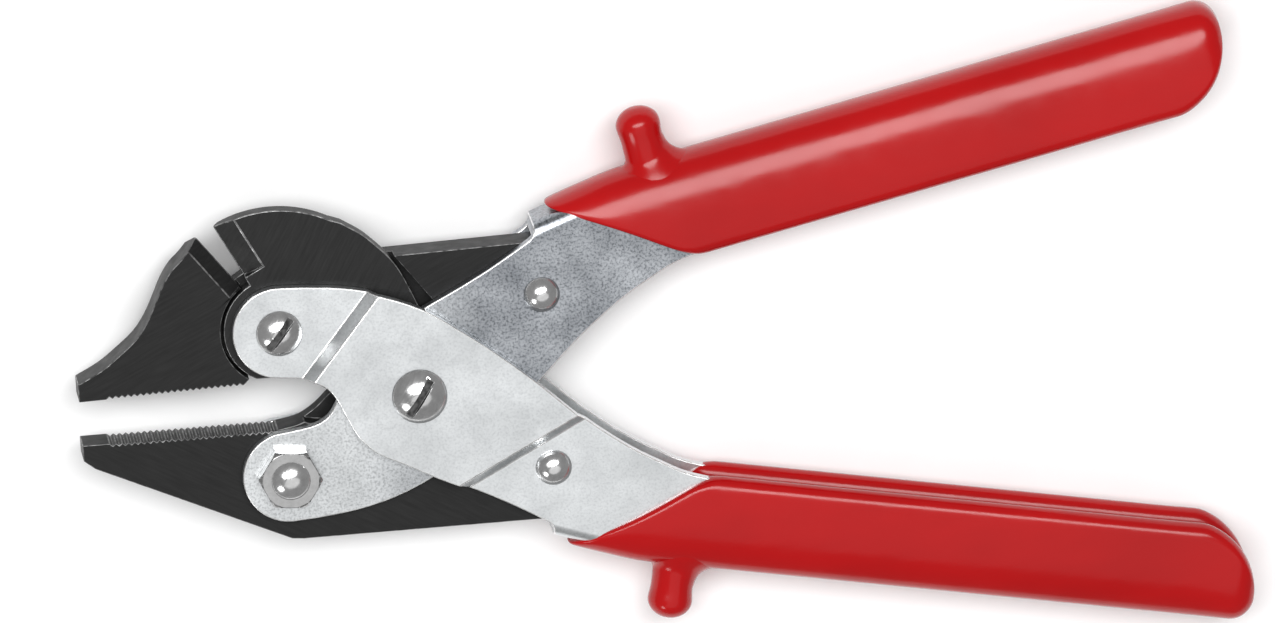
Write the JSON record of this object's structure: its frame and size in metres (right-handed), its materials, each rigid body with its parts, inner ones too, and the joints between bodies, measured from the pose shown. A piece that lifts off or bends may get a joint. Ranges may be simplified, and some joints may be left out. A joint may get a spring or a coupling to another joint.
{
  "type": "parallel-action pliers",
  "caption": "Compound pliers whose toothed jaws stay parallel, with a side cutter above the upper jaw pivot and dip-coated channel handles",
  "frame": {"origin": "on the main pivot axis, at the flat outer face of the main pivot nut", "axes": "+X from the jaws to the handles, +Y towards the upper handle, +Z along the main pivot, from its nut to its screw head"},
  "size_m": [0.1926, 0.106, 0.0196],
  "materials": {
    "black_steel": "black oxide, satin, worn at the edges",
    "blade_steel": "black oxide, ground bevels",
    "plated_steel": "satin plating",
    "dip_coating": "smooth glossy dipped coating",
    "fastener_steel": "polished"
  },
  "bodies": {
    "lower_handle_body": {"lower_handle": "plated_steel", "lower_grip": "dip_coating", "cutter_blade": "blade_steel", "main_pivot_screw": "fastener_steel", "main_pivot_nut": "fastener_steel", "pivot_spacer": "black_steel", "upper_jaw_screw": "fastener_steel", "upper_jaw_nut": "fastener_steel", "lower_guide_rivet": "fastener_steel"},
    "upper_handle_body": {"upper_handle": "plated_steel", "upper_grip": "dip_coating", "lower_jaw_screw": "fastener_steel", "lower_jaw_nut": "fastener_steel", "upper_guide_rivet": "fastener_steel"},
    "upper_jaw_body": {"upper_jaw": "black_steel"},
    "lower_jaw_body": {"lower_jaw": "black_steel"}
  },
  "joints": [
    {"name": "handle_hinge", "type": "hinge", "parent": "lower_handle_body", "child": "upper_handle_body", "pos_m": [0, 0, 0.01008], "axis": [0, 0, 1], "range_deg": [-18.2, 15]},
    {"name": "upper_jaw_hinge", "type": "hinge", "parent": "lower_handle_body", "child": "upper_jaw_body", "pos_m": [-0.02222, 0.01231, 0.01008], "axis": [0, 0, 1], "range_deg": [-9.1, 7.5]},
    {"name": "lower_jaw_hinge", "type": "hinge", "parent": "upper_handle_body", "child": "lower_jaw_body", "pos_m": [-0.02222, -0.01231, 0.01008], "axis": [0, 0, 1], "range_deg": [-7.5, 9.1]}
  ],
  "couplings": [
    {"joint": "upper_jaw_hinge", "follows": "handle_hinge", "ratio": 0.5},
    {"joint": "lower_jaw_hinge", "follows": "handle_hinge", "ratio": -0.5}
  ]
}
